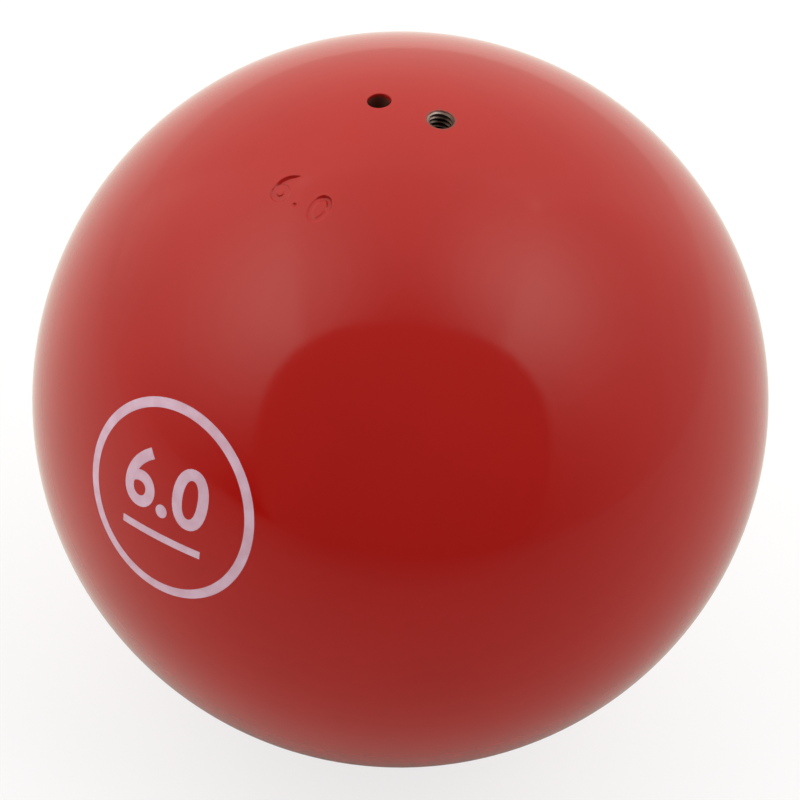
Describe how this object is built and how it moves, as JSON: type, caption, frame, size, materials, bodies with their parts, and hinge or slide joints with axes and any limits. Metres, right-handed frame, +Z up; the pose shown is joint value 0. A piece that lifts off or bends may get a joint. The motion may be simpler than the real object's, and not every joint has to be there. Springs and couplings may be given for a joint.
{
  "type": "shot put",
  "caption": "Painted iron ball for putting, with a lead heart under a flush screwed plug, a tapped hanging hole and a set screw that carries a trim slug.",
  "frame": {"origin": "centre of the ball", "axes": "+Z up the closing plug's axis, out of the tapped hole; -Y is the side that carries the struck mark and the printed ring"},
  "size_m": [0.115, 0.115, 0.115],
  "materials": {
    "red_enamel": "gloss red enamel over turned cast iron; the plug under it is steel",
    "cast_lead": "dull cast lead",
    "cork": "pressed cork",
    "copper": "soft stamped copper",
    "bare_steel": "bright machined steel",
    "black_steel": "blackened alloy steel",
    "print_ink": "thin pale pad-printed ink"
  },
  "bodies": {
    "ball": {"shell_casting": "red_enamel", "closing_plug": "red_enamel", "lead_core": "cast_lead", "packing_wad": "cork", "sealing_washer": "copper", "lock_pin": "bare_steel"},
    "slug": {"trim_slug": "cast_lead"},
    "screw": {"trim_screw": "black_steel"}
  },
  "joints": [
    {"name": "trim_lift", "type": "slide", "parent": "ball", "child": "slug", "axis": [0, 0, 1], "range_m": [0, 0.01191]},
    {"name": "screw_turn", "type": "hinge", "parent": "slug", "child": "screw", "pos_m": [0, 0, 0.0453], "axis": [0, 0, 1], "range_deg": [0, 5400]}
  ],
  "couplings": [
    {"joint": "screw_turn", "follows": "trim_lift", "rad_per_m": 7915.8}
  ]
}
